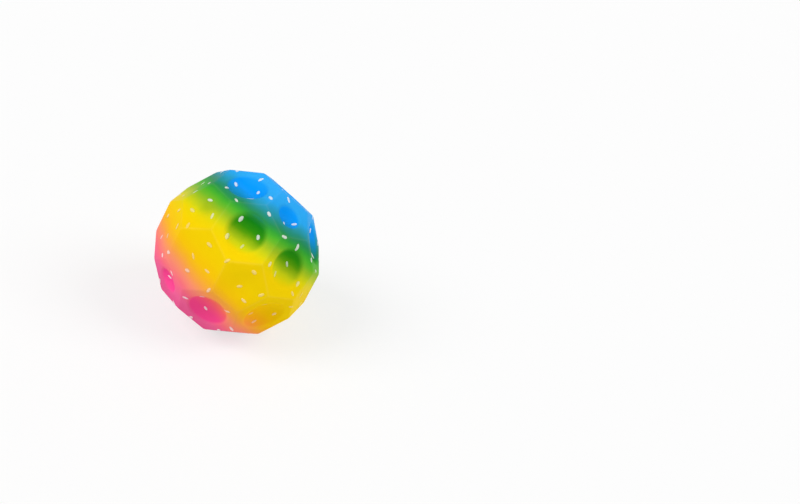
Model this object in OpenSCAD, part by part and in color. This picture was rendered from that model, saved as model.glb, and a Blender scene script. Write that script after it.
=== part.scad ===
// Moulded foam bouncy ball with dished faces, sprayed colour bands and white flecks.
// Millimetres. Z is up, the ball stands on its plain lower face, and the origin is the middle of that face.

/* [Ball] */
// Diameter across the corners, before they are softened
ball_d = 70; // [60:1:80]
// How far the corners are rounded off, measured towards the centre
corner_trim = 0.52; // [0.3:0.02:0.6]

/* [Craters] */
// Rim diameter of the dish in a six-sided face
hex_dish_d = 17.8; // [15:0.2:19]
// Depth of the dish in a six-sided face
hex_dish_depth = 2.8; // [1.8:0.1:3.4]
// Rim diameter of the dish in a five-sided face
pent_dish_d = 11.6; // [10:0.2:13]
// Depth of the dish in a five-sided face
pent_dish_depth = 1.9; // [1.2:0.1:2.5]
// Depth of the dish in two of the five-sided faces, as wide but faint
faint_dish_depth = 0.6; // [0.4:0.1:0.9]
// Rim diameter of the small dish in two of the five-sided faces
small_dish_d = 9; // [7:0.2:10]
// Depth of the small dish
small_dish_depth = 1.1; // [0.7:0.1:1.5]

/* [Layers] */
// Thickness of the sprayed colour coat
coat_t = 0.4; // [0.3:0.05:0.6]
// Thickness of the dense skin under the coat
skin_t = 1.2; // [0.8:0.1:2]

/* [Colour bands] */
// Tilt off the upright of the way that blue and green are sprayed from
blue_spray_tilt = 39; // [32:1:46]
// Turn of that way about the upright
blue_spray_turn = 38; // [24:1:52]
// Tilt of the way that orange and pink are sprayed towards
pink_spray_tilt = 43; // [36:1:50]
// Turn of that way about the upright
pink_spray_turn = 18; // [5:1:35]
// Where blue meets green, measured from the centre along the blue spray
blue_edge = 21.7; // [19:0.1:24]
// Where green meets yellow
green_edge = 7.7; // [5:0.1:10]
// Where yellow meets orange, measured from the centre along the pink spray
yellow_edge = -11.5; // [-14:0.1:-9]
// Where orange meets pink
orange_edge = -20; // [-22:0.1:-18]

/* [Flecks] */
// Flecks spread over the whole ball, before the rest face is kept clear
fleck_count = 172; // [150:1:190]
// Length of a fleck, tip to tip
fleck_l = 2.5; // [2:0.1:2.8]
// Width of a fleck
fleck_w = 1.35; // [1:0.05:1.6]
// Height of a fleck above the coat
fleck_t = 0.12; // [0.1:0.01:0.2]
// Clear angle round the middle of the rest face
fleck_clear = 27; // [25:1:30]

/* [Hidden] */
$fn = 64;
corner_r = ball_d / 2;
edge = 4 * corner_r / sqrt(58 + 18 * sqrt(5));
hex_h = edge * sqrt(3) * (3 + sqrt(5)) / 4;
pent_h = edge / 2 * sqrt((125 + 41 * sqrt(5)) / 10);
round_r = corner_r - corner_trim;
wide = 3 * corner_r;

// Tilts of the face normals from the upright, and the turn of the belt pairs
hex_tilt = acos(sqrt(5) / 3);
belt_tilt = acos(1 / 3);
belt_turn = acos(sqrt(5 / 8));
pent_tilt = acos(sqrt((5 + 2 * sqrt(5)) / 15));
low_tilt = acos(sqrt((5 - 2 * sqrt(5)) / 15));

// Face axes as tilt and turn: one for each pair of opposite faces
hex_axes = concat(
    [[0, 0], [hex_tilt, 30], [hex_tilt, 150], [hex_tilt, 270]],
    [for (turn = [30, 150, 270], side = [-1, 1]) [belt_tilt, turn + side * belt_turn]]);
pent_axes = concat(
    [for (turn = [90, 210, 330]) [pent_tilt, turn]],
    [for (turn = [30, 150, 270]) [low_tilt, turn]]);
function opposite(axes) = [for (a = axes) [180 - a[0], a[1] + 180]];
hex_faces = concat(hex_axes, opposite(hex_axes));
pent_faces = concat(pent_axes, opposite(pent_axes));

// Faces that stay flat, and the five-sided faces with the small or the faint dish, by their place in the lists
plain_hex = [2, 7, 8, 10, 12, 17, 18];
plain_pent = [4, 10];
small_pent = [1, 7];
faint_pent = [5, 11];

// The two ways that colour is sprayed along
blue_spray = [blue_spray_tilt, blue_spray_turn];
pink_spray = [pink_spray_tilt, pink_spray_turn];

function listed(n, items) = len(search(n, items)) > 0;
function dish_r(rim_d, depth) = (rim_d * rim_d / 4 + depth * depth) / (2 * depth);
function unit_hash(n, salt) = let (v = sin(n * 127.1 + salt * 311.7) * 4375.85) v - floor(v);

// Turns the upright to a face axis
module along(axis) {
    rotate([0, axis[0], axis[1]]) children();
}

// One pair of opposite faces as a slab
module slab(axis, half) {
    along(axis) cube([wide, wide, 2 * half], center = true);
}

// One dish, its wall moved in by the layer depth
module dish(axis, face_h, rim_d, depth, inset) {
    ball_r = dish_r(rim_d, depth);
    along(axis) translate([0, 0, face_h - depth + ball_r]) sphere(r = ball_r + inset);
}

module faceted(inset) {
    intersection() {
        sphere(r = round_r - inset);
        intersection_for (a = hex_axes) slab(a, hex_h - inset);
        intersection_for (a = pent_axes) slab(a, pent_h - inset);
    }
}

module dishes(inset) {
    for (n = [0 : len(hex_faces) - 1])
        if (!listed(n, plain_hex))
            dish(hex_faces[n], hex_h, hex_dish_d, hex_dish_depth, inset);
    for (n = [0 : len(pent_faces) - 1])
        if (!listed(n, plain_pent))
            if (listed(n, small_pent))
                dish(pent_faces[n], pent_h, small_dish_d, small_dish_depth, inset);
            else if (listed(n, faint_pent))
                dish(pent_faces[n], pent_h, pent_dish_d, faint_dish_depth, inset);
            else
                dish(pent_faces[n], pent_h, pent_dish_d, pent_dish_depth, inset);
}

// The ball's solid at a depth below the finished surface
module ball(inset) {
    difference() {
        faceted(inset);
        dishes(inset);
    }
}

module layer(from, to) {
    difference() {
        ball(from);
        ball(to);
    }
}

// All that lies beyond a distance along a spray axis
module beyond(axis, from) {
    along(axis) translate([-wide / 2, -wide / 2, from]) cube(wide);
}

// The coat beyond one edge and short of the next
module coat(axis, from, end_axis, to) {
    translate([0, 0, hex_h])
        difference() {
            intersection() {
                layer(0, coat_t);
                beyond(axis, from);
            }
            beyond(end_axis, to);
        }
}

module foam_core() {
    color([0.93, 0.90, 0.80])
        translate([0, 0, hex_h]) ball(coat_t + skin_t);
}

module dense_skin() {
    color([0.95, 0.86, 0.45])
        translate([0, 0, hex_h]) layer(coat_t, coat_t + skin_t);
}

module blue_coat() {
    color([0.12, 0.59, 1.0]) coat(blue_spray, blue_edge, blue_spray, wide);
}

module green_coat() {
    color([0.20, 0.66, 0.14]) coat(blue_spray, green_edge, blue_spray, blue_edge);
}

module yellow_coat() {
    color([0.98, 0.86, 0.03]) coat(pink_spray, yellow_edge, blue_spray, green_edge);
}

module orange_coat() {
    color([1.0, 0.58, 0.32]) coat(pink_spray, orange_edge, pink_spray, yellow_edge);
}

module pink_coat() {
    color([0.94, 0.30, 0.58]) coat(pink_spray, -wide, pink_spray, orange_edge);
}

// An oval stood through the surface at one place on the ball
module fleck(n) {
    tilt = acos(1 - (2 * n + 1) / fleck_count) + 7 * (unit_hash(n, 1) - 0.5);
    turn = n * 137.508 + 9 * (unit_hash(n, 2) - 0.5);
    l = fleck_l / 2 * (0.85 + 0.3 * unit_hash(n, 3));
    w = fleck_w / 2 * (0.8 + 0.4 * unit_hash(n, 5));
    if (tilt < 180 - fleck_clear)
        rotate([0, tilt, turn]) rotate([0, 0, 360 * unit_hash(n, 4)]) translate([0, 0, corner_r * 0.75])
            linear_extrude(corner_r * 0.35)
                polygon([for (a = [0 : 36 : 324]) [l * cos(a), w * sin(a)]]);
}

module white_flecks() {
    color([0.97, 0.97, 0.95])
        translate([0, 0, hex_h])
            intersection() {
                layer(-fleck_t, 0);
                union() {
                    for (n = [0 : fleck_count - 1]) fleck(n);
                }
            }
}

foam_core();
dense_skin();
blue_coat();
green_coat();
yellow_coat();
orange_coat();
pink_coat();
white_flecks();
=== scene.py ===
"""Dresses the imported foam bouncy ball: its soft-edged sprayed surface, its flecks, and a plain studio."""

import bmesh
import bpy
import numpy as np
from mathutils import Matrix, Vector


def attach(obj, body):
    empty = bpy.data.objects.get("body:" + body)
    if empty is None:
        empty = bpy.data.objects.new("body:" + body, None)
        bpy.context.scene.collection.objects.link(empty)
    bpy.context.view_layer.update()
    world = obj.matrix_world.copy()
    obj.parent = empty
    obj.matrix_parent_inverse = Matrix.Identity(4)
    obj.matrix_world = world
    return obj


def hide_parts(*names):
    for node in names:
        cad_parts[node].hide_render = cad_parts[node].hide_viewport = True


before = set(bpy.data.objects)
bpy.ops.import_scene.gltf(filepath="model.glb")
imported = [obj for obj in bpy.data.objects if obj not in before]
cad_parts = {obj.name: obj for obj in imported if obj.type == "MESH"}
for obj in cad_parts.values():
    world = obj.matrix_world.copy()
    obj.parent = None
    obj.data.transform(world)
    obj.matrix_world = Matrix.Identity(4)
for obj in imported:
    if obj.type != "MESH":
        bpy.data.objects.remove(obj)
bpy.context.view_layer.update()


# Foam core
# The body of the ball is polyurethane foam, poured into a two-part mould and risen there in one shot.
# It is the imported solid, under the skin, with the look of fine pale foam cells.

FOAM_CREAM = (0.84, 0.77, 0.58, 1.0)
FOAM_SHADE = (0.62, 0.53, 0.34, 1.0)
FOAM_ROUGH = 0.9
CELL_SCALE = 1100.0
CELL_BUMP = 0.6
CELL_DEEP = 0.0004


def new_finish(name):
    """A new material with its node tree, its Principled shader and the object's own coordinates."""
    finish = bpy.data.materials.new(name)
    finish.use_nodes = True
    tree = finish.node_tree
    shader = tree.nodes["Principled BSDF"]
    place = tree.nodes.new("ShaderNodeTexCoord")
    return finish, tree, shader, place.outputs["Object"]


def add_bump(tree, shader, height, strength, distance):
    """Links a height to the shader's normal through a bump of that strength and depth in metres."""
    bump = tree.nodes.new("ShaderNodeBump")
    bump.inputs["Strength"].default_value = strength
    bump.inputs["Distance"].default_value = distance
    tree.links.new(height, bump.inputs["Height"])
    tree.links.new(bump.outputs["Normal"], shader.inputs["Normal"])


def add_mix(tree, factor, first, second):
    """Mixes two colours by a factor. A colour is either fixed or another node's output."""
    mix = tree.nodes.new("ShaderNodeMix")
    mix.data_type = "RGBA"
    tree.links.new(factor, mix.inputs["Factor"])
    sockets = [s for s in mix.inputs if s.type == "RGBA"]
    for socket, colour in zip(sockets, (first, second)):
        if isinstance(colour, tuple):
            socket.default_value = colour
        else:
            tree.links.new(colour, socket)
    return [s for s in mix.outputs if s.type == "RGBA"][0]


foam_finish, tree, shader, place = new_finish("foam_cells")
cells = tree.nodes.new("ShaderNodeTexVoronoi")
cells.inputs["Scale"].default_value = CELL_SCALE
tree.links.new(place, cells.inputs["Vector"])
tree.links.new(
    add_mix(tree, cells.outputs["Distance"], FOAM_SHADE, FOAM_CREAM),
    shader.inputs["Base Color"],
)
shader.inputs["Roughness"].default_value = FOAM_ROUGH
add_bump(tree, shader, cells.outputs["Distance"], CELL_BUMP, CELL_DEEP)

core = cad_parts["foam_core"]
core.data.materials.clear()
core.data.materials.append(foam_finish)


# Dense skin
# Against the cool mould the foam set almost solid, about a millimetre thick, and this skin holds the paint.
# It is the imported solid, and it takes the moulded grain that the paint over it takes too.

SKIN_YELLOW = (0.88, 0.72, 0.18, 1.0)
SKIN_SHADE = (0.74, 0.56, 0.10, 1.0)
SKIN_ROUGH = (0.55, 0.75)
SKIN_BUMP = 0.3
SKIN_DEEP = 0.0002

# Scale and detail of the noises in the grain, and how much of the fine one joins the broad one
FINE_PEEL = (1300.0, 3.0)
BROAD_SWELL = (150.0, 2.0)
RUBBED_SPOTS = (70.0, 4.0)
PEEL_SHARE = 0.35


def add_noise(tree, place, scale, detail):
    """Cloudy noise from 0 to 1 over the given coordinates."""
    noise = tree.nodes.new("ShaderNodeTexNoise")
    noise.inputs["Scale"].default_value = scale
    noise.inputs["Detail"].default_value = detail
    tree.links.new(place, noise.inputs["Vector"])
    return noise.outputs["Fac"]


def add_spread(tree, value, low, high):
    """Maps a value between 0 and 1 to a value between low and high."""
    spread = tree.nodes.new("ShaderNodeMapRange")
    spread.inputs["To Min"].default_value = low
    spread.inputs["To Max"].default_value = high
    tree.links.new(value, spread.inputs["Value"])
    return spread.outputs["Result"]


grain = bpy.data.node_groups.new("moulded_grain", "ShaderNodeTree")
grain.interface.new_socket("Vector", in_out="INPUT", socket_type="NodeSocketVector")
grain.interface.new_socket("Height", in_out="OUTPUT", socket_type="NodeSocketFloat")
grain.interface.new_socket("Wear", in_out="OUTPUT", socket_type="NodeSocketFloat")
grain_place = grain.nodes.new("NodeGroupInput").outputs["Vector"]
grain_out = grain.nodes.new("NodeGroupOutput")
both = grain.nodes.new("ShaderNodeMath")
both.operation = "MULTIPLY_ADD"
both.inputs[1].default_value = PEEL_SHARE
grain.links.new(add_noise(grain, grain_place, *FINE_PEEL), both.inputs[0])
grain.links.new(add_noise(grain, grain_place, *BROAD_SWELL), both.inputs[2])
grain.links.new(both.outputs["Value"], grain_out.inputs["Height"])
grain.links.new(add_noise(grain, grain_place, *RUBBED_SPOTS), grain_out.inputs["Wear"])


def add_grain(tree, place):
    """Places the moulded grain in a material, on the object's own coordinates."""
    node = tree.nodes.new("ShaderNodeGroup")
    node.node_tree = grain
    tree.links.new(place, node.inputs["Vector"])
    return node.outputs["Height"], node.outputs["Wear"]


skin_finish, tree, shader, place = new_finish("skin_foam")
height, wear = add_grain(tree, place)
tree.links.new(add_mix(tree, wear, SKIN_SHADE, SKIN_YELLOW), shader.inputs["Base Color"])
tree.links.new(add_spread(tree, wear, *SKIN_ROUGH), shader.inputs["Roughness"])
add_bump(tree, shader, height, SKIN_BUMP, SKIN_DEEP)

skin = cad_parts["dense_skin"]
skin.data.materials.clear()
skin.data.materials.append(skin_finish)


# Sprayed coats
# Blue and green are sprayed over yellow from one side and pink from the other, and paint pools in dishes,
# darkened further there with painted shade.
# Paler paint along the creases is a painted highlight.
# The coats are one smooth surface of flat faces, rounded edges and round dishes, cut where one colour ends.

# Sizes in millimetres, from the centre of the ball, and the metres in one of them
MM = 0.001
CORNER_R = 35.0
EDGE = 4 * CORNER_R / np.sqrt(58 + 18 * np.sqrt(5))
HEX_H = EDGE * np.sqrt(3) * (3 + np.sqrt(5)) / 4
PENT_H = EDGE / 2 * np.sqrt((125 + 41 * np.sqrt(5)) / 10)
EDGE_SOFT = 0.18
RIM_SOFT = 0.18
COAT_T = 0.4

# Tilts of the face normals off the upright and turns about it, one of each pair of opposite faces
HEX_TILT = np.degrees(np.arccos(np.sqrt(5) / 3))
BELT_TILT = np.degrees(np.arccos(1 / 3))
BELT_TURN = np.degrees(np.arccos(np.sqrt(5 / 8)))
PENT_TILT = np.degrees(np.arccos(np.sqrt((5 + 2 * np.sqrt(5)) / 15)))
LOW_TILT = np.degrees(np.arccos(np.sqrt((5 - 2 * np.sqrt(5)) / 15)))
HEX_AXES = [(0, 0), (HEX_TILT, 30), (HEX_TILT, 150), (HEX_TILT, 270)]
HEX_AXES += [(BELT_TILT, turn + side * BELT_TURN) for turn in (30, 150, 270) for side in (-1, 1)]
PENT_AXES = [(PENT_TILT, turn) for turn in (90, 210, 330)]
PENT_AXES += [(LOW_TILT, turn) for turn in (30, 150, 270)]

# Rim diameter and depth of the dishes, and the faces that have another dish or none
HEX_DISH = (17.8, 2.8)
PENT_DISH = (11.6, 1.9)
SMALL_DISH = (9.0, 1.1)
FAINT_DEPTH = 0.6
PLAIN_HEX = [2, 7, 8, 10, 12, 17, 18]
PLAIN_PENT = [4, 10]
SMALL_PENT = [1, 7]
FAINT_PENT = [5, 11]


def face_normals(axes):
    """Unit normals of faces from their tilt off the upright and turn about it, then of those opposite."""
    tilt, turn = np.radians(np.array(axes, dtype=float)).T
    n = np.stack([np.sin(tilt) * np.cos(turn), np.sin(tilt) * np.sin(turn), np.cos(tilt)], axis=1)
    return np.vstack([n, -n])


hex_n = face_normals(HEX_AXES)
pent_n = face_normals(PENT_AXES)
hexes = len(hex_n)
pents = len(pent_n)
all_n = np.vstack([hex_n, pent_n])
all_h = np.r_[np.full(hexes, HEX_H), np.full(pents, PENT_H)]

dish_rim = np.r_[np.full(hexes, HEX_DISH[0]), np.full(pents, PENT_DISH[0])] / 2
dish_deep = np.r_[np.full(hexes, HEX_DISH[1]), np.full(pents, PENT_DISH[1])]
small = hexes + np.array(SMALL_PENT)
dish_rim[small] = SMALL_DISH[0] / 2
dish_deep[small] = SMALL_DISH[1]
dish_deep[hexes + np.array(FAINT_PENT)] = FAINT_DEPTH
dish_r = (dish_rim**2 + dish_deep**2) / (2 * dish_deep)
dish_c = all_n * (all_h - dish_deep + dish_r)[:, None]
dished = np.ones(hexes + pents, dtype=bool)
dished[PLAIN_HEX] = False
dished[hexes + np.array(PLAIN_PENT)] = False

# Least cosine at which a face is met, a reach beyond the ball, and the share of pooled paint and painted
# shade in shallow dishes
LEAST_COS = 0.3
BEYOND = 99.0
SHALLOW_SHARE = 0.6


def soft_least(values, soft):
    """The least of each row, rounded where two are close.

    It is minus soft times the log of the sum of exp(-v / soft).
    """
    low = values.min(axis=1, keepdims=True)
    return low[:, 0] - soft * np.log(np.exp((low - values) / soft).sum(axis=1))


def ball_surface(d):
    """How far the surface lies from the centre along unit directions d, its pooled depth and how near it
    lies to a crease.

    A flat face is met at its height over the cosine to its normal, and a dish on its sphere's near side.
    The soft least of the faces has round edges, and the soft least of that and the dishes has round rims.
    The pooled depth is what the dishes take off the faces, cut down in shallow ones that gather less paint;
    it sets the dishes' pooled paint and painted shade.
    The crease mask is what the rounding takes off an edge, 1 along its middle; it sets the painted highlight
    along the creases.
    """
    planes = all_h / np.maximum(d @ all_n.T, LEAST_COS)
    flat = soft_least(planes, EDGE_SOFT)
    c = dish_c[dished]
    along = d @ c.T
    inside = along**2 - (c**2).sum(axis=1) + dish_r[dished] ** 2
    met = (inside > 0) & (along > 0)
    near = np.where(met, along - np.sqrt(np.maximum(inside, 0)), BEYOND)
    reach = soft_least(np.stack([flat, near.min(axis=1)], axis=1), RIM_SOFT)
    pool_shade_share = np.where(dish_deep[dished] > SMALL_DISH[1], 1.0, SHALLOW_SHARE)[near.argmin(axis=1)]
    crease_glint = (planes.min(axis=1) - flat) / (EDGE_SOFT * np.log(2))
    return reach, (flat - reach) * pool_shade_share, crease_glint


# Steps along a side of a face, rings within and beyond the rim, and a cosine that only the face itself has
SIDE_STEPS = 16
DISH_RINGS = 15
FACE_RINGS = 13
SAME_FACE = 0.999


def face_grid(normals, heights, sides, rims, first):
    """Points over flat faces, as rings round each middle, with the corners of their quads and triangles.

    The rings are circles out to the dish rim. Beyond it they grow from the rim to the face's outline.
    Every side is split into even steps, so that the rings of neighbouring faces end on the same points.
    """
    count = sides * SIDE_STEPS
    alike = normals @ all_n.T
    close = np.where(alike > SAME_FACE, -1, alike).argmax(axis=1)
    u = all_n[close] - (all_n[close] * normals).sum(axis=1, keepdims=True) * normals
    u /= np.linalg.norm(u, axis=1, keepdims=True)
    v = np.cross(normals, u)
    side = np.repeat(np.arange(sides), SIDE_STEPS) * 2 * np.pi / sides
    slide = EDGE * (np.tile(np.arange(SIDE_STEPS), sides) / SIDE_STEPS - 0.5)
    mid = EDGE / 2 / np.tan(np.pi / sides)
    x = mid * np.cos(side) - slide * np.sin(side)
    y = mid * np.sin(side) + slide * np.cos(side)
    far = np.hypot(x, y)
    inner = np.sin(np.linspace(0, np.pi / 2, DISH_RINGS + 1)[1:])
    outer = (1 - np.cos(np.linspace(0, np.pi, FACE_RINGS + 1)[1:])) / 2
    rim = rims[:, None, None]
    rings = np.concatenate(
        [
            rim * inner[None, :, None] * np.ones(count),
            rim + (far - rim) * outer[None, :, None],
        ],
        axis=1,
    )
    cx = (x / far)[None, None, :, None]
    cy = (y / far)[None, None, :, None]
    out = cx * u[:, None, None, :] + cy * v[:, None, None, :]
    base = (normals * heights[:, None])[:, None, None, :]
    points = base + rings[..., None] * out
    middle = base[:, 0]
    verts = np.concatenate([middle, points.reshape(len(normals), -1, 3)], axis=1)
    start = first + np.arange(len(normals))[:, None, None] * verts.shape[1]
    ring = np.arange(rings.shape[1] - 1)[:, None] * count + 1
    here = np.arange(count)[None, :]
    after = (here + 1) % count
    quads = np.stack([ring + here, ring + count + here, ring + count + after, ring + after], axis=-1)
    fans = np.stack([np.zeros(count, dtype=int), 1 + here[0], 1 + after[0]], axis=-1)
    quads = (start[..., None] + quads[None]).reshape(-1, 4)
    fans = (start + fans[None]).reshape(-1, 3)
    return verts.reshape(-1, 3), quads, fans


hex_v, hex_q, hex_f = face_grid(hex_n, all_h[:hexes], 6, dish_rim[:hexes], 0)
pent_v, pent_q, pent_f = face_grid(pent_n, all_h[hexes:], 5, dish_rim[hexes:], len(hex_v))
way = np.vstack([hex_v, pent_v])
way /= np.linalg.norm(way, axis=1, keepdims=True)
reach, sunk, crease_glint = ball_surface(way)
lift = np.array([0.0, 0.0, HEX_H])
whole = bpy.data.meshes.new("ball_whole")
whole.from_pydata(
    (way * reach[:, None] + lift) * MM,
    [],
    np.vstack([hex_q, pent_q]).tolist() + np.vstack([hex_f, pent_f]).tolist(),
)
# The points carry their pooled depth, for the dishes' pooled paint and painted shade, and their nearness to
# a crease, for the painted highlight along the creases
whole.attributes.new("sunk", "FLOAT", "POINT").data.foreach_set("value", sunk.astype(np.float32))
whole.attributes.new("crease_glint", "FLOAT", "POINT").data.foreach_set("value", crease_glint.astype(np.float32))

# The ways of the two sprays, and where along them one coat ends and the next begins
BLUE_WAY = face_normals([(39, 38)])[0]
PINK_WAY = face_normals([(43, 18)])[0]
BLUE_EDGE = 21.7
GREEN_EDGE = 7.7
YELLOW_EDGE = -11.5
ORANGE_EDGE = -20.0

# Paint along each spray, at shares of the ball's radius, on the faces, and in the dishes deeper pooled paint
# darkened further with painted shade
BLUE_SPRAY = [
    (0.02, (245, 209, 7)),
    (0.12, (237, 211, 10)),
    (0.17, (226, 213, 16)),
    (0.22, (203, 208, 25)),
    (0.31, (152, 190, 37)),
    (0.37, (108, 184, 42)),
    (0.43, (76, 178, 46)),
    (0.48, (53, 161, 55)),
    (0.53, (43, 143, 83)),
    (0.58, (42, 142, 122)),
    (0.66, (44, 154, 186)),
    (0.74, (44, 167, 238)),
    (0.90, (52, 172, 250)),
]
# Dish colours along the blue spray: deeper pooled paint, darkened further with painted shade in the dishes
BLUE_POOLED_SHADED = [
    (0.00, (245, 210, 6)),
    (0.08, (226, 211, 13)),
    (0.14, (202, 207, 21)),
    (0.20, (158, 186, 22)),
    (0.28, (90, 157, 14)),
    (0.34, (48, 143, 14)),
    (0.43, (22, 131, 23)),
    (0.48, (30, 131, 56)),
    (0.53, (34, 140, 130)),
    (0.58, (24, 141, 182)),
    (0.66, (20, 151, 243)),
    (0.72, (8, 152, 248)),
    (0.90, (34, 166, 252)),
]
PINK_SPRAY = [
    (-0.85, (232, 89, 146)),
    (-0.74, (238, 99, 152)),
    (-0.66, (247, 105, 141)),
    (-0.60, (249, 115, 128)),
    (-0.51, (250, 141, 114)),
    (-0.41, (249, 163, 72)),
    (-0.33, (248, 182, 37)),
    (-0.25, (248, 197, 13)),
    (-0.14, (246, 205, 8)),
    (0.00, (245, 209, 7)),
]
# Dish colours along the pink spray: deeper pooled paint, darkened further with painted shade in the dishes
PINK_POOLED_SHADED = [
    (-0.80, (251, 79, 152)),
    (-0.72, (247, 72, 147)),
    (-0.63, (246, 74, 142)),
    (-0.57, (247, 84, 131)),
    (-0.49, (249, 104, 107)),
    (-0.39, (249, 150, 66)),
    (-0.29, (248, 175, 26)),
    (-0.18, (247, 197, 7)),
    (0.00, (245, 209, 6)),
]

# Unevenness of the spray, and the depths over which the dish colour of pooled paint and painted shade comes
# in: pink and blue by the rim, green farther in
SPRAY_CLOUD = (75.0, 3.0)
SPRAY_DRIFT = 0.10
RIM_POOL_SHADE = (0.1, 0.9)
MIDDLE_POOL_SHADE = (0.15, 1.5)

# Shares of the radius over which the green dish colour of pooled paint and painted shade turns blue, one
# spray takes over from the other, pink thins out towards yellow, and green thickens beyond it
BLUE_POOL_SHADE_FROM = (0.42, 0.56)
BLUE_OVER_PINK = (-0.02, 0.1)
PINK_THINS = (-0.65, -0.25)
GREEN_THICKENS = (0.1, 0.4)

# The flecks' own white, and how far the sprayed colour shows in it: everywhere, more on yellow, and by drift
FLECK_WHITE = (0.93, 0.94, 0.93, 1.0)
SHOW_ALL = 0.34
SHOW_ON_YELLOW = 0.44
SHOW_BY_DRIFT = 6.0


def paint(srgb):
    """A paint colour given as 0 to 255 display values, as linear light."""
    v = np.array(srgb) / 255.0
    return (*np.where(v <= 0.04045, v / 12.92, ((v + 0.055) / 1.055) ** 2.4), 1.0)


spray = bpy.data.node_groups.new("spray_blend", "ShaderNodeTree")
spray.interface.new_socket("Vector", in_out="INPUT", socket_type="NodeSocketVector")
spray.interface.new_socket("Sunk", in_out="INPUT", socket_type="NodeSocketFloat")
spray.interface.new_socket("Color", in_out="OUTPUT", socket_type="NodeSocketColor")
spray.interface.new_socket("Fleck", in_out="OUTPUT", socket_type="NodeSocketColor")
spray_in = spray.nodes.new("NodeGroupInput")
spray_out = spray.nodes.new("NodeGroupOutput")


def spray_math(operation, first, second):
    """One arithmetic step in the spray group, on outputs or plain numbers."""
    node = spray.nodes.new("ShaderNodeMath")
    node.operation = operation
    for socket, value in zip(node.inputs, (first, second)):
        if isinstance(value, float):
            socket.default_value = value
        else:
            spray.links.new(value, socket)
    return node.outputs["Value"]


def spray_step(value, low, high):
    """Rises smoothly from 0 to 1 while the value goes from low to high."""
    node = spray.nodes.new("ShaderNodeMapRange")
    node.interpolation_type = "SMOOTHSTEP"
    node.inputs["From Min"].default_value = low
    node.inputs["From Max"].default_value = high
    spray.links.new(value, node.inputs["Value"])
    return node.outputs["Result"]


def spray_reach(way):
    """How far a place lies along a spray, as a share of the ball's radius, with a little drift."""
    dot = spray.nodes.new("ShaderNodeVectorMath")
    dot.operation = "DOT_PRODUCT"
    dot.inputs[1].default_value = way / (CORNER_R * MM)
    spray.links.new(spray_in.outputs["Vector"], dot.inputs[0])
    share = spray_math("SUBTRACT", dot.outputs["Value"], float(way @ lift) / CORNER_R)
    return spray_math("ADD", share, drift)


def spray_ramp(reach, stops):
    """Paint colours along a spray, from stops at shares of the ball's radius between -1 and 1."""
    node = spray.nodes.new("ShaderNodeValToRGB")
    while len(node.color_ramp.elements) < len(stops):
        node.color_ramp.elements.new(0.5)
    for stop, (at, colour) in zip(node.color_ramp.elements, stops):
        stop.position = at * 0.5 + 0.5
        stop.color = paint(colour)
    fac = spray_math("ADD", spray_math("MULTIPLY", reach, 0.5), 0.5)
    spray.links.new(fac, node.inputs["Fac"])
    return node.outputs["Color"]


def spray_colour(reach, in_dish, stops, pooled_shaded_stops):
    """The paint at a place along a spray: one run of colours on the faces, a deeper one in the dishes that
    also carries painted shade.
    """
    return add_mix(spray, in_dish, spray_ramp(reach, stops), spray_ramp(reach, pooled_shaded_stops))


cloud = add_noise(spray, spray_in.outputs["Vector"], *SPRAY_CLOUD)
drift = spray_math("MULTIPLY", spray_math("SUBTRACT", cloud, 0.5), SPRAY_DRIFT)
blue_reach = spray_reach(BLUE_WAY)
pink_reach = spray_reach(PINK_WAY)
# Masks of the dish colour by depth, which is pooled paint and painted shade
to_rim = spray_step(spray_in.outputs["Sunk"], *RIM_POOL_SHADE)
to_middle = spray_step(spray_in.outputs["Sunk"], *MIDDLE_POOL_SHADE)
on_blue = spray_step(blue_reach, *BLUE_POOL_SHADE_FROM)
blue_pool_shade = spray_math(
    "ADD",
    to_middle,
    spray_math("MULTIPLY", spray_math("SUBTRACT", to_rim, to_middle), on_blue),
)
coat_colour = add_mix(
    spray,
    spray_step(blue_reach, *BLUE_OVER_PINK),
    spray_colour(pink_reach, to_rim, PINK_SPRAY, PINK_POOLED_SHADED),
    spray_colour(blue_reach, blue_pool_shade, BLUE_SPRAY, BLUE_POOLED_SHADED),
)
on_yellow = spray_math(
    "SUBTRACT",
    spray_step(pink_reach, *PINK_THINS),
    spray_step(blue_reach, *GREEN_THICKENS),
)
thin_paint = spray_math("ADD", spray_math("MULTIPLY", drift, SHOW_BY_DRIFT), SHOW_ON_YELLOW)
show_through = spray_math("ADD", spray_math("MULTIPLY", on_yellow, thin_paint), SHOW_ALL)
fleck_colour = add_mix(spray, show_through, FLECK_WHITE, coat_colour)
spray.links.new(coat_colour, spray_out.inputs["Color"])
spray.links.new(fleck_colour, spray_out.inputs["Fleck"])


def add_attribute(tree, name):
    """A value that the mesh carries at each of its points."""
    node = tree.nodes.new("ShaderNodeAttribute")
    node.attribute_name = name
    return node.outputs["Fac"]


def add_spray(tree, place, kind):
    """Places the spray blend in a material, with the dish depth that the mesh carries."""
    node = tree.nodes.new("ShaderNodeGroup")
    node.node_tree = spray
    tree.links.new(place, node.inputs["Vector"])
    tree.links.new(add_attribute(tree, "sunk"), node.inputs["Sunk"])
    return node.outputs[kind]


SEAM_WELD = 1e-6


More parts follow.
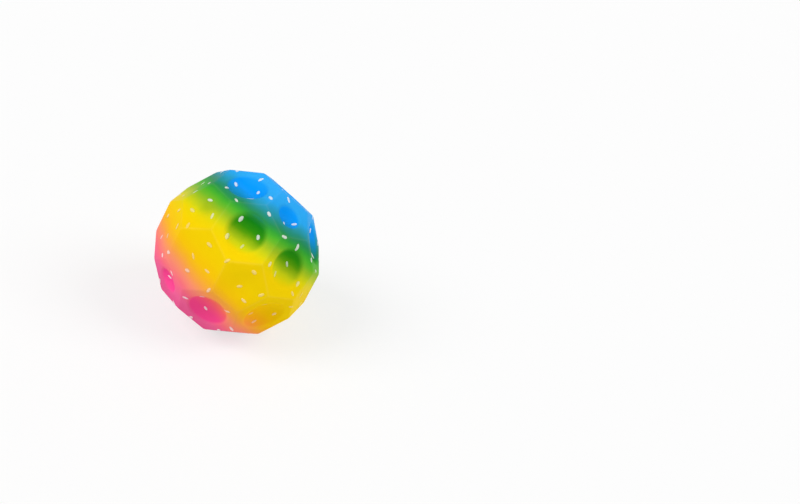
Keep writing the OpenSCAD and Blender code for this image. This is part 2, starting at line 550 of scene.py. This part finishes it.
def cut_coat(name, ends):
    """The part of the whole surface left by planes across the sprays, given the coat's thickness inward.

    Each end is a spray's way, a distance along it from the centre, and the side of it that is cut off.
    """
    bm = bmesh.new()
    bm.from_mesh(whole)
    bmesh.ops.remove_doubles(bm, verts=bm.verts, dist=SEAM_WELD)
    for way, at, side in ends:
        bmesh.ops.bisect_plane(
            bm,
            geom=bm.verts[:] + bm.edges[:] + bm.faces[:],
            plane_co=Vector((lift + way * at) * MM),
            plane_no=Vector(way * side),
            clear_outer=True,
        )
    for face in bm.faces:
        face.smooth = True
    for line in bm.edges:
        line.smooth = not line.is_boundary
    mesh = bpy.data.meshes.new(name)
    bm.to_mesh(mesh)
    bm.free()
    coat = bpy.data.objects.new(name, mesh)
    bpy.context.collection.objects.link(coat)
    wall = coat.modifiers.new("coat_wall", "SOLIDIFY")
    wall.thickness = COAT_T * MM
    wall.offset = -1.0
    return coat


# Colour and share of the paler paint along the creases, which is a painted highlight on the edges
GLINT_PALE = (0.93, 0.86, 0.62, 1.0)
GLINT_SHARE = 0.045
COAT_ROUGH = (0.25, 0.38)
COAT_SHEEN = 0.003
COAT_BUMP = 0.12
COAT_DEEP = 0.00012
COATS = {
    "blue": [(BLUE_WAY, BLUE_EDGE, -1)],
    "green": [(BLUE_WAY, GREEN_EDGE, -1), (BLUE_WAY, BLUE_EDGE, 1)],
    "yellow": [(PINK_WAY, YELLOW_EDGE, -1), (BLUE_WAY, GREEN_EDGE, 1)],
    "orange": [(PINK_WAY, ORANGE_EDGE, -1), (PINK_WAY, YELLOW_EDGE, 1)],
    "pink": [(PINK_WAY, ORANGE_EDGE, 1)],
}
for colour, ends in COATS.items():
    coat = cut_coat(colour + "_paint", ends)
    finish, tree, shader, place = new_finish(colour + "_spray")
    sprayed = add_spray(tree, place, "Color")
    height, wear = add_grain(tree, place)
    # A painted highlight: paler paint along the creases, patchy with the grain's noise
    glint_mask = tree.nodes.new("ShaderNodeMath")
    glint_mask.operation = "MULTIPLY"
    tree.links.new(add_attribute(tree, "crease_glint"), glint_mask.inputs[0])
    tree.links.new(wear, glint_mask.inputs[1])
    tree.links.new(
        add_mix(tree, add_spread(tree, glint_mask.outputs["Value"], 0.0, GLINT_SHARE), sprayed, GLINT_PALE),
        shader.inputs["Base Color"],
    )
    tree.links.new(add_spread(tree, wear, *COAT_ROUGH), shader.inputs["Roughness"])
    shader.inputs["Specular IOR Level"].default_value = COAT_SHEEN
    add_bump(tree, shader, height, COAT_BUMP, COAT_DEEP)
    coat.data.materials.append(finish)
    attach(coat, "root")
    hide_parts(colour + "_coat")


# White flecks
# Small chips of white paint lie on the coats, turned every way and spread over faces and dishes alike.
# Each is a thin oval laid on the surface. The side that the ball stands on has none.

FLECK_COUNT = 172
FLECK_L = 2.5
FLECK_W = 1.35
FLECK_T = 0.10
FLECK_CLEAR = 27.0

# How deep the middle of a fleck's underside sinks, how high its rim floats, and where its oval is laid out
FLECK_ROOT = 0.10
FLECK_FLOAT = 0.01
LAYOUT_R = 0.95 * CORNER_R

# Turn from one fleck to the next, how far they stray from that, and the least and spread of their sizes
GOLDEN_TURN = 137.508
TILT_STRAY = 7
TURN_STRAY = 9
LENGTH_LEAST = 0.85
LENGTH_SPREAD = 0.3
WIDTH_LEAST = 0.8
WIDTH_SPREAD = 0.4

# Points along and across a fleck, and the distance at which its points are joined and its thin cells go
LEAF_ROWS = 8
LEAF_COLUMNS = 5
LEAF_WELD = 2e-6
LEAF_THIN = 1e-7

FLECK_ROUGH = (0.38, 0.54)
FLECK_SHEEN = 0.18
FLECK_BUMP = 0.12
FLECK_DEEP = 0.0001


def even_hash(n, salt):
    """A number from 0 to 1 for each n: the broken-off part of a large multiple of a sine."""
    v = np.sin(np.radians(n * 127.1 + salt * 311.7)) * 4375.85
    return v - np.floor(v)


number = np.arange(FLECK_COUNT)
tilt = np.degrees(np.arccos(1 - (2 * number + 1) / FLECK_COUNT)) + TILT_STRAY * (even_hash(number, 1) - 0.5)
turn = number * GOLDEN_TURN + TURN_STRAY * (even_hash(number, 2) - 0.5)
half_l = FLECK_L / 2 * (LENGTH_LEAST + LENGTH_SPREAD * even_hash(number, 3))
half_w = FLECK_W / 2 * (WIDTH_LEAST + WIDTH_SPREAD * even_hash(number, 5))
spin = 2 * np.pi * even_hash(number, 4)
keep = tilt < 180 - FLECK_CLEAR
tilt = np.radians(tilt[keep])
turn = np.radians(turn[keep])
spin = spin[keep]
half_l = half_l[keep, None, None]
half_w = half_w[keep, None, None]

ahead = np.stack([np.sin(tilt) * np.cos(turn), np.sin(tilt) * np.sin(turn), np.cos(tilt)], axis=1)
down = np.stack([np.cos(tilt) * np.cos(turn), np.cos(tilt) * np.sin(turn), -np.sin(tilt)], axis=1)
across = np.cross(ahead, down)
long_way = down * np.cos(spin)[:, None] + across * np.sin(spin)[:, None]
wide_way = np.cross(ahead, long_way)


def fleck_leaf(raise_mid):
    """Points of every fleck's top or underside on a grid of length and width, and the dish depth at each.

    The outline is an ellipse. The surface is followed, and raised or sunk in the middle by the root of the
    product of one minus the squares of the shares of the length and of the width there.
    """
    rows = np.sin(np.linspace(-1, 1, LEAF_ROWS) * np.pi / 2)
    a, c = np.meshgrid(rows, np.linspace(-1, 1, LEAF_COLUMNS), indexing="ij")
    x = (half_l * a)[..., None]
    y = (half_w * np.sqrt(1 - a**2) * c)[..., None]
    foot = (ahead * LAYOUT_R)[:, None, None]
    points = foot + x * long_way[:, None, None] + y * wide_way[:, None, None]
    d = points.reshape(-1, 3)
    d = d / np.linalg.norm(d, axis=1, keepdims=True)
    reach, sunk, _ = ball_surface(d)
    swell = np.sqrt(np.maximum((1 - a**2) * (1 - c**2), 0))
    reach = reach + FLECK_FLOAT + raise_mid * np.tile(swell.ravel(), len(ahead))
    return d * reach[:, None] + lift, sunk


top, top_sunk = fleck_leaf(FLECK_T)
under, under_sunk = fleck_leaf(-FLECK_ROOT)
row, column = np.meshgrid(np.arange(LEAF_ROWS - 1), np.arange(LEAF_COLUMNS - 1), indexing="ij")
corner = (row * LEAF_COLUMNS + column).ravel()
next_row = corner + LEAF_COLUMNS
cells_one = np.stack([corner, next_row, next_row + 1, corner + 1], axis=1)
leaf_start = np.arange(len(ahead))[:, None, None] * LEAF_ROWS * LEAF_COLUMNS
cells_all = (leaf_start + cells_one[None]).reshape(-1, 4)
leaf = bpy.data.meshes.new("fleck_chips")
leaf.from_pydata(
    np.vstack([top, under]) * MM,
    [],
    np.vstack([cells_all, cells_all[:, ::-1] + len(top)]).tolist(),
)
leaf.attributes.new("sunk", "FLOAT", "POINT").data.foreach_set(
    "value", np.r_[top_sunk, under_sunk].astype(np.float32)
)
bm = bmesh.new()
bm.from_mesh(leaf)
bmesh.ops.remove_doubles(bm, verts=bm.verts, dist=LEAF_WELD)
bmesh.ops.dissolve_degenerate(bm, edges=bm.edges, dist=LEAF_THIN)
for face in bm.faces:
    face.smooth = True
bm.to_mesh(leaf)
bm.free()
flecks = bpy.data.objects.new("fleck_chips", leaf)
bpy.context.collection.objects.link(flecks)

fleck_finish, tree, shader, place = new_finish("fleck_white")
tree.links.new(add_spray(tree, place, "Fleck"), shader.inputs["Base Color"])
height, wear = add_grain(tree, place)
tree.links.new(add_spread(tree, wear, *FLECK_ROUGH), shader.inputs["Roughness"])
shader.inputs["Specular IOR Level"].default_value = FLECK_SHEEN
add_bump(tree, shader, height, FLECK_BUMP, FLECK_DEEP)
leaf.materials.append(fleck_finish)
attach(flecks, "root")
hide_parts("white_flecks")


# Studio
# A pale floor under the ball, two large soft lamps above it to either side, and even light all round.
# The camera stands where the photograph's did, 17 ball radii away, tipped and shifted as its frame is.

FLOOR_HALF = 3.0
FLOOR_PALE = (0.88, 0.88, 0.88, 1.0)
FLOOR_ROUGH = 0.8
FLOOR_GLOW = 0.7

s = FLOOR_HALF
floor_mesh = bpy.data.meshes.new("floor")
floor_mesh.from_pydata([(-s, -s, 0), (s, -s, 0), (s, s, 0), (-s, s, 0)], [], [(0, 1, 2, 3)])
floor = bpy.data.objects.new("floor", floor_mesh)
bpy.context.collection.objects.link(floor)
floor_finish, tree, shader, place = new_finish("floor_white")
shader.inputs["Base Color"].default_value = FLOOR_PALE
shader.inputs["Roughness"].default_value = FLOOR_ROUGH


def seen_rays(tree):
    """1 for a ray that shows a thing to the eye, straight, mirrored or through glass, and else 0."""
    sight = tree.nodes.new("ShaderNodeLightPath")
    seen = sight.outputs["Is Camera Ray"]
    for kind in ("Is Glossy Ray", "Is Transmission Ray"):
        either = tree.nodes.new("ShaderNodeMath")
        either.operation = "MAXIMUM"
        tree.links.new(seen, either.inputs[0])
        tree.links.new(sight.outputs[kind], either.inputs[1])
        seen = either.outputs["Value"]
    return seen


glow = tree.nodes.new("ShaderNodeEmission")
lit = tree.nodes.new("ShaderNodeMixShader")
tree.links.new(add_spread(tree, seen_rays(tree), 0.0, FLOOR_GLOW), lit.inputs["Fac"])
tree.links.new(shader.outputs["BSDF"], lit.inputs[1])
tree.links.new(glow.outputs["Emission"], lit.inputs[2])
tree.links.new(lit.outputs["Shader"], tree.nodes["Material Output"].inputs["Surface"])
floor_mesh.materials.append(floor_finish)

AIR_LIGHT = 0.38
AIR_SEEN = 1.0

world = bpy.data.worlds.new("studio_air")
bpy.context.scene.world = world
world.use_nodes = True
tree = world.node_tree
air = tree.nodes["Background"]
air.inputs["Color"].default_value = (1.0, 1.0, 1.0, 1.0)
tree.links.new(add_spread(tree, seen_rays(tree), AIR_LIGHT, AIR_SEEN), air.inputs["Strength"])

LAMP_WIDE = 36


def soft_sun(name, turn, rise, strength):
    """A sun lamp as wide as a large softbox, from a turn about the upright and a rise over the floor."""
    data = bpy.data.lights.new(name, "SUN")
    data.angle = np.radians(LAMP_WIDE)
    data.energy = strength
    lamp = bpy.data.objects.new(name, data)
    lamp.rotation_euler = (np.radians(90 - rise), 0, np.radians(turn + 90))
    bpy.context.collection.objects.link(lamp)


soft_sun("lamp_left", turn=195, rise=45, strength=1.66)
soft_sun("lamp_right", turn=345, rise=45, strength=1.35)

# The camera's turn, rise and roll in degrees, its distance in ball radii, and its lens
CAMERA_TURN = 263.7
CAMERA_RISE = 33.6
CAMERA_ROLL = 9.1
CAMERA_AWAY = 17
CAMERA_LENS = 64.7
CAMERA_SENSOR = 36.0
SHIFT_ACROSS = 0.2032
SHIFT_UP = 0.0005
NEAR_CLIP = 0.01

turn_c, rise_c, roll_c = np.radians([CAMERA_TURN, CAMERA_RISE, CAMERA_ROLL])
back = np.array([np.cos(turn_c) * np.cos(rise_c), np.sin(turn_c) * np.cos(rise_c), np.sin(rise_c)])
level = np.array([-np.sin(turn_c), np.cos(turn_c), 0.0])
upright = np.cross(back, level)
side_way = np.cos(roll_c) * level + np.sin(roll_c) * upright
top_way = np.cos(roll_c) * upright - np.sin(roll_c) * level
eye = (lift + back * CAMERA_AWAY * CORNER_R) * MM
stand = np.column_stack([side_way, top_way, back, eye])
camera_data = bpy.data.cameras.new("camera")
camera_data.sensor_width = CAMERA_SENSOR
camera_data.lens = CAMERA_LENS
camera_data.shift_x = SHIFT_ACROSS
camera_data.shift_y = SHIFT_UP
camera_data.clip_start = NEAR_CLIP
camera = bpy.data.objects.new("camera", camera_data)
camera.matrix_world = Matrix(np.vstack([stand, [0, 0, 0, 1]]).tolist())
bpy.context.collection.objects.link(camera)
bpy.context.scene.camera = camera
bpy.context.scene.view_settings.view_transform = "Standard"
